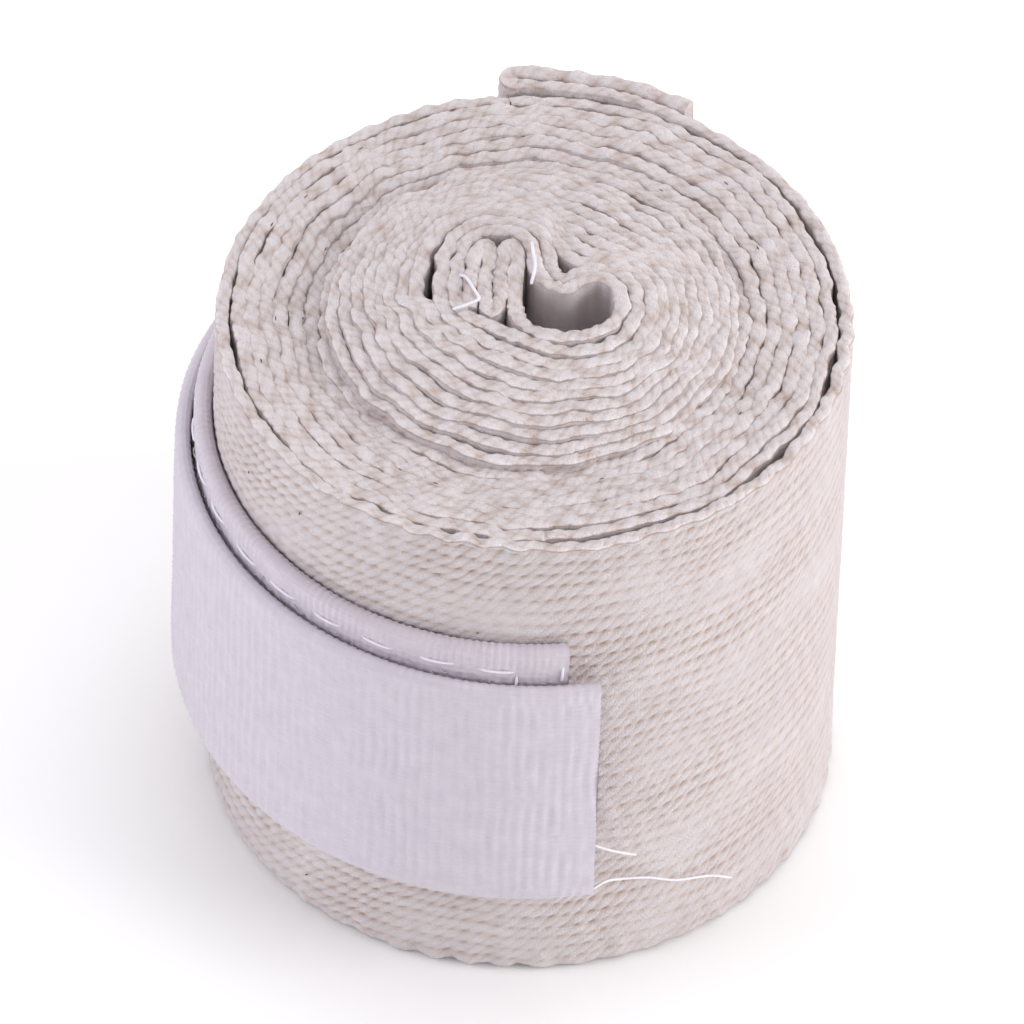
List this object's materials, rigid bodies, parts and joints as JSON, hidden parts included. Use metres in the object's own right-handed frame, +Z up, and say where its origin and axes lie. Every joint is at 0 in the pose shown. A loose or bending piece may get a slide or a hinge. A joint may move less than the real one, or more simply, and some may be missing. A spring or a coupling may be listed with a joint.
{
  "type": "boxing hand wrap",
  "caption": "Rolled cotton boxing hand wrap, closed by a white hook tape tab that grips a loop tape on the last turn; the last half turn peels open and the core telescopes.",
  "frame": {"origin": "point of the roll's axis in the plane it stands on", "axes": "+Z up along the roll's axis; -Y towards the side where the hook tape tab ends"},
  "size_m": [0.0539, 0.0576, 0.0526],
  "materials": {
    "cotton": "matt natural cotton weave",
    "loop_tape": "soft nylon pile",
    "hook_tape": "woven nylon with a slight sheen",
    "sewing_thread": "white polyester thread"
  },
  "bodies": {
    "roll": {"outer_coil": "cotton", "loop_tape": "loop_tape", "loop_tape_stitches": "sewing_thread"},
    "core": {"inner_coil": "cotton", "core_folds": "cotton", "thumb_loop": "cotton", "thumb_loop_tack": "sewing_thread"},
    "band_01": {"band_link_01": "cotton"},
    "band_02": {"band_link_02": "cotton"},
    "band_03": {"band_link_03": "cotton"},
    "band_04": {"band_link_04": "cotton"},
    "band_05": {"band_link_05": "cotton"},
    "band_06": {"band_link_06": "cotton"},
    "band_07": {"band_link_07": "cotton"},
    "band_08": {"band_link_08": "cotton"},
    "band_09": {"band_link_09": "cotton"},
    "hem_01": {"hem_link_01": "cotton", "hook_tape_link_01": "hook_tape", "hook_stitches_01": "sewing_thread"},
    "hem_02": {"hem_link_02": "cotton", "hook_tape_link_02": "hook_tape", "hook_stitches_02": "sewing_thread"},
    "tab_01": {"hook_tape_link_03": "hook_tape"},
    "tab_02": {"hook_tape_link_04": "hook_tape"},
    "tab_03": {"hook_tape_link_05": "hook_tape"},
    "tab_04": {"hook_tape_link_06": "hook_tape"},
    "tab_05": {"hook_tape_link_07": "hook_tape"},
    "tab_06": {"hook_tape_link_08": "hook_tape"},
    "tab_07": {"hook_tape_link_09": "hook_tape"},
    "tab_08": {"hook_tape_link_10": "hook_tape"},
    "tab_09": {"hook_tape_link_11": "hook_tape"},
    "tab_10": {"hook_tape_link_12": "hook_tape"},
    "tab_11": {"hook_tape_link_13": "hook_tape"},
    "tab_12": {"hook_tape_link_14": "hook_tape", "thread_tail_long": "sewing_thread", "thread_tail_short": "sewing_thread"}
  },
  "joints": [
    {"name": "core_telescope", "type": "slide", "parent": "roll", "child": "core", "axis": [0, 0, 1], "range_m": [-0.002, 0.012]},
    {"name": "peel_01", "type": "hinge", "parent": "roll", "child": "band_01", "pos_m": [0.00565, -0.02487, 0.025], "axis": [0, 0, -1], "range_deg": [0, 15.8]},
    {"name": "peel_02", "type": "hinge", "parent": "band_01", "child": "band_02", "pos_m": [0.01224, -0.02243, 0.025], "axis": [0, 0, -1], "range_deg": [0, 15.8]},
    {"name": "peel_03", "type": "hinge", "parent": "band_02", "child": "band_03", "pos_m": [0.01794, -0.01827, 0.025], "axis": [0, 0, -1], "range_deg": [0, 15.8]},
    {"name": "peel_04", "type": "hinge", "parent": "band_03", "child": "band_04", "pos_m": [0.02228, -0.01271, 0.025], "axis": [0, 0, -1], "range_deg": [0, 15.8]},
    {"name": "peel_05", "type": "hinge", "parent": "band_04", "child": "band_05", "pos_m": [0.02496, -0.00616, 0.025], "axis": [0, 0, -1], "range_deg": [0, 15.8]},
    {"name": "peel_06", "type": "hinge", "parent": "band_05", "child": "band_06", "pos_m": [0.02575, 0.00089, 0.025], "axis": [0, 0, -1], "range_deg": [0, 15.8]},
    {"name": "peel_07", "type": "hinge", "parent": "band_06", "child": "band_07", "pos_m": [0.02461, 0.0079, 0.025], "axis": [0, 0, -1], "range_deg": [0, 15.8]},
    {"name": "peel_08", "type": "hinge", "parent": "band_07", "child": "band_08", "pos_m": [0.02159, 0.01437, 0.025], "axis": [0, 0, -1], "range_deg": [0, 15.8]},
    {"name": "peel_09", "type": "hinge", "parent": "band_08", "child": "band_09", "pos_m": [0.0169, 0.01978, 0.025], "axis": [0, 0, -1], "range_deg": [0, 15.8]},
    {"name": "peel_10", "type": "hinge", "parent": "band_09", "child": "hem_01", "pos_m": [0.0109, 0.02371, 0.025], "axis": [0, 0, -1], "range_deg": [0, 15.8]},
    {"name": "peel_11", "type": "hinge", "parent": "hem_01", "child": "hem_02", "pos_m": [0.00442, 0.02836, 0.025], "axis": [0, 0, -1], "range_deg": [0, 15.8]},
    {"name": "peel_12", "type": "hinge", "parent": "hem_02", "child": "tab_01", "pos_m": [-0.00352, 0.02874, 0.024], "axis": [0, 0, -1], "range_deg": [0, 15.8]},
    {"name": "peel_13", "type": "hinge", "parent": "tab_01", "child": "tab_02", "pos_m": [-0.01097, 0.02607, 0.024], "axis": [0, 0, -1], "range_deg": [0, 15.8]},
    {"name": "peel_14", "type": "hinge", "parent": "tab_02", "child": "tab_03", "pos_m": [-0.01736, 0.0217, 0.024], "axis": [0, 0, -1], "range_deg": [0, 15.8]},
    {"name": "peel_15", "type": "hinge", "parent": "tab_03", "child": "tab_04", "pos_m": [-0.0227, 0.0162, 0.024], "axis": [0, 0, -1], "range_deg": [0, 15.8]},
    {"name": "peel_16", "type": "hinge", "parent": "tab_04", "child": "tab_05", "pos_m": [-0.02635, 0.00942, 0.024], "axis": [0, 0, -1], "range_deg": [0, 15.8]},
    {"name": "peel_17", "type": "hinge", "parent": "tab_05", "child": "tab_06", "pos_m": [-0.02801, 0.00188, 0.024], "axis": [0, 0, -1], "range_deg": [0, 15.8]},
    {"name": "peel_18", "type": "hinge", "parent": "tab_06", "child": "tab_07", "pos_m": [-0.02753, -0.00585, 0.024], "axis": [0, 0, -1], "range_deg": [0, 15.8]},
    {"name": "peel_19", "type": "hinge", "parent": "tab_07", "child": "tab_08", "pos_m": [-0.02495, -0.01317, 0.024], "axis": [0, 0, -1], "range_deg": [0, 15.8]},
    {"name": "peel_20", "type": "hinge", "parent": "tab_08", "child": "tab_09", "pos_m": [-0.02045, -0.01952, 0.024], "axis": [0, 0, -1], "range_deg": [0, 15.8]},
    {"name": "peel_21", "type": "hinge", "parent": "tab_09", "child": "tab_10", "pos_m": [-0.01438, -0.02441, 0.024], "axis": [0, 0, -1], "range_deg": [0, 15.8]},
    {"name": "peel_22", "type": "hinge", "parent": "tab_10", "child": "tab_11", "pos_m": [-0.00719, -0.02747, 0.024], "axis": [0, 0, -1], "range_deg": [0, 15.8]},
    {"name": "peel_23", "type": "hinge", "parent": "tab_11", "child": "tab_12", "pos_m": [0.00058, -0.02845, 0.024], "axis": [0, 0, -1], "range_deg": [0, 15.8]}
  ],
  "couplings": [
    {"joint": "peel_02", "follows": "peel_01", "ratio": 1},
    {"joint": "peel_03", "follows": "peel_01", "ratio": 1},
    {"joint": "peel_04", "follows": "peel_01", "ratio": 1},
    {"joint": "peel_05", "follows": "peel_01", "ratio": 1},
    {"joint": "peel_06", "follows": "peel_01", "ratio": 1},
    {"joint": "peel_07", "follows": "peel_01", "ratio": 1},
    {"joint": "peel_08", "follows": "peel_01", "ratio": 1},
    {"joint": "peel_09", "follows": "peel_01", "ratio": 1},
    {"joint": "peel_10", "follows": "peel_01", "ratio": 1},
    {"joint": "peel_11", "follows": "peel_01", "ratio": 1},
    {"joint": "peel_12", "follows": "peel_01", "ratio": 1},
    {"joint": "peel_13", "follows": "peel_01", "ratio": 1},
    {"joint": "peel_14", "follows": "peel_01", "ratio": 1},
    {"joint": "peel_15", "follows": "peel_01", "ratio": 1},
    {"joint": "peel_16", "follows": "peel_01", "ratio": 1},
    {"joint": "peel_17", "follows": "peel_01", "ratio": 1},
    {"joint": "peel_18", "follows": "peel_01", "ratio": 1},
    {"joint": "peel_19", "follows": "peel_01", "ratio": 1},
    {"joint": "peel_20", "follows": "peel_01", "ratio": 1},
    {"joint": "peel_21", "follows": "peel_01", "ratio": 1},
    {"joint": "peel_22", "follows": "peel_01", "ratio": 1},
    {"joint": "peel_23", "follows": "peel_01", "ratio": 1}
  ]
}
